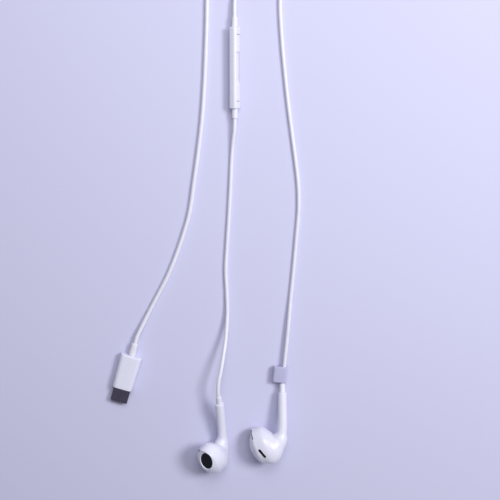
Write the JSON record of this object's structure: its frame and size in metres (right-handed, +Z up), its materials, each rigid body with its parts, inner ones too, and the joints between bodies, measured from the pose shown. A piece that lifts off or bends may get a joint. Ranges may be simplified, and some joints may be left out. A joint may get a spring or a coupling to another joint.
{
  "type": "wired earphones",
  "caption": "Wired earphones: stemmed earbuds on thin cords, an in-line remote with a rocking key plate, a cord slider, a splitter, a coiled main cord and a reversible data plug.",
  "frame": {"origin": "on the surface that the set lies on, under the middle of the two earbuds", "axes": "+Z up from the surface; +Y from the earbuds' heads along their stems towards the cords; +X towards the bud with the slider"},
  "size_m": [0.0915, 0.3242, 0.0171],
  "materials": {
    "shell_white": "gloss",
    "soft_white": "satin",
    "cord_white": "satin",
    "mesh_black": "matt",
    "black_plastic": "matt",
    "steel": "satin",
    "magnet": "plated",
    "plug_steel": "dark satin",
    "copper": "enamelled wire",
    "gold": "plated",
    "film": "clear film",
    "board": "solder mask"
  },
  "bodies": {
    "set": {"right_rear_shell": "shell_white", "right_front_cap": "shell_white", "right_outlet_mesh": "mesh_black", "right_slit_mesh": "mesh_black", "right_vent_mesh": "mesh_black", "right_baffle": "black_plastic", "right_driver_frame": "steel", "right_magnet": "magnet", "right_pole_plate": "steel", "right_voice_coil": "copper", "right_diaphragm": "film", "right_driver_wires": "copper", "right_cord_anchor": "steel", "right_strain_relief": "soft_white", "left_rear_shell": "shell_white", "left_front_cap": "shell_white", "left_outlet_mesh": "mesh_black", "left_slit_mesh": "mesh_black", "left_vent_mesh": "mesh_black", "left_baffle": "black_plastic", "left_driver_frame": "steel", "left_magnet": "magnet", "left_pole_plate": "steel", "left_voice_coil": "copper", "left_diaphragm": "film", "left_driver_wires": "copper", "left_cord_anchor": "steel", "left_strain_relief": "soft_white", "remote_back_case": "shell_white", "remote_front_case": "shell_white", "remote_board": "board", "remote_dome_switches": "steel", "remote_microphone": "gold", "remote_upper_relief": "soft_white", "remote_lower_relief": "soft_white", "splitter_case": "shell_white", "splitter_core": "black_plastic", "splitter_relief": "soft_white", "plug_case": "shell_white", "plug_metal_shell": "plug_steel", "plug_insulator": "black_plastic", "plug_contacts": "gold", "plug_board": "board", "plug_shield_can": "steel", "plug_relief": "soft_white", "main_cord_run": "cord_white", "main_cord_coil": "cord_white", "main_cord_lead": "cord_white", "right_cord_lower": "cord_white", "right_cord_upper": "cord_white", "left_cord": "cord_white"},
    "slider": {"cord_slider": "shell_white"},
    "key_spring": {"remote_key_spring": "steel"},
    "key_plate": {"remote_key_plate": "shell_white"}
  },
  "joints": [
    {"name": "slider_slide", "type": "slide", "parent": "set", "child": "slider", "axis": [0.0946, 0.9953, -0.0229], "range_m": [0, 0.023]},
    {"name": "key_press", "type": "slide", "parent": "set", "child": "key_spring", "axis": [-0.8829, 0, -0.4695], "range_m": [0, 0.0002], "stiffness_N_per_m": 2000},
    {"name": "key_rock", "type": "hinge", "parent": "key_spring", "child": "key_plate", "pos_m": [-0.00274, 0.172, 0.00289], "axis": [0.4695, 0, -0.8829], "range_deg": [-1, 1], "stiffness_Nm_per_rad": 0.5}
  ]
}
